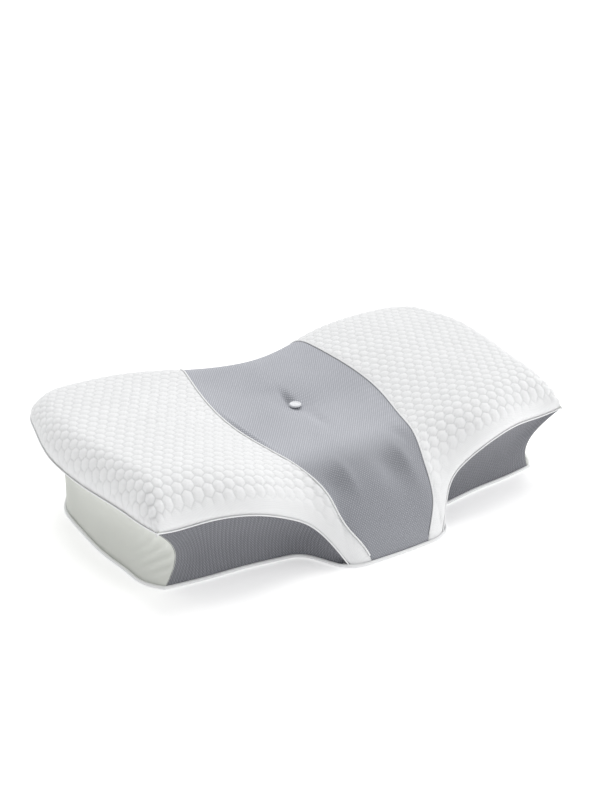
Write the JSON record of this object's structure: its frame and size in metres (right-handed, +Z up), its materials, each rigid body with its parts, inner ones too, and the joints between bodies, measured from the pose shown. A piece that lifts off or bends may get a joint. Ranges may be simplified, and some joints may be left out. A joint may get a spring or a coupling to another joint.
{
  "type": "contoured cervical pillow",
  "caption": "Butterfly-shaped contoured neck pillow: moulded foam core, liner and a zipped cover with quilted wings, a mesh centre panel and a tufted button.",
  "frame": {"origin": "on the flat underside, on the centre line, midway between the end walls", "axes": "+X to the sleeper's right end as seen from the front, along the length; +Y from the neck lobe towards the back; +Z up"},
  "size_m": [0.6526, 0.4184, 0.1366],
  "materials": {
    "foam": "open-cell memory foam, cream",
    "liner": "thin white tricot",
    "quilted": "white knit with puffed hexagon cells",
    "plain": "smooth white tricot",
    "mesh": "grey air mesh with fine diagonal dots",
    "side_mesh": "grey air mesh with fine upright ribs",
    "base": "plain light knit",
    "welt": "white satin piping",
    "tape": "woven zip tape",
    "teeth": "nylon coil",
    "metal": "nickel-plated zinc",
    "button": "cloth-covered button",
    "cord": "braided elastic cord"
  },
  "bodies": {
    "pillow": {"foam_core": "foam", "inner_liner": "liner", "centre_panel": "mesh", "left_wing_panel": "quilted", "right_wing_panel": "quilted", "left_front_panel": "side_mesh", "right_front_panel": "side_mesh", "left_end_panel": "plain", "right_end_panel": "plain", "back_upper_strip": "plain", "back_lower_strip": "plain", "base_panel": "base", "left_rim_welt": "welt", "right_rim_welt": "welt", "left_centre_welt": "welt", "right_centre_welt": "welt", "base_welt": "welt", "upper_zip_tape": "tape", "lower_zip_tape": "tape", "upper_zip_teeth": "teeth", "lower_zip_teeth": "teeth", "zip_closed_stop": "metal", "zip_open_stop": "metal", "tuft_button": "button", "tuft_cord": "cord", "tuft_anchor": "button"},
    "slider": {"zip_slider": "metal"},
    "puller": {"zip_puller": "metal"}
  },
  "joints": [
    {"name": "zip_slide", "type": "slide", "parent": "pillow", "child": "slider", "axis": [-1, 0, 0], "range_m": [0, 0.427]},
    {"name": "puller_swing", "type": "hinge", "parent": "slider", "child": "puller", "pos_m": [0.2135, 0.1367, 0.027], "axis": [0, 0, -1], "range_deg": [0, 165]}
  ]
}
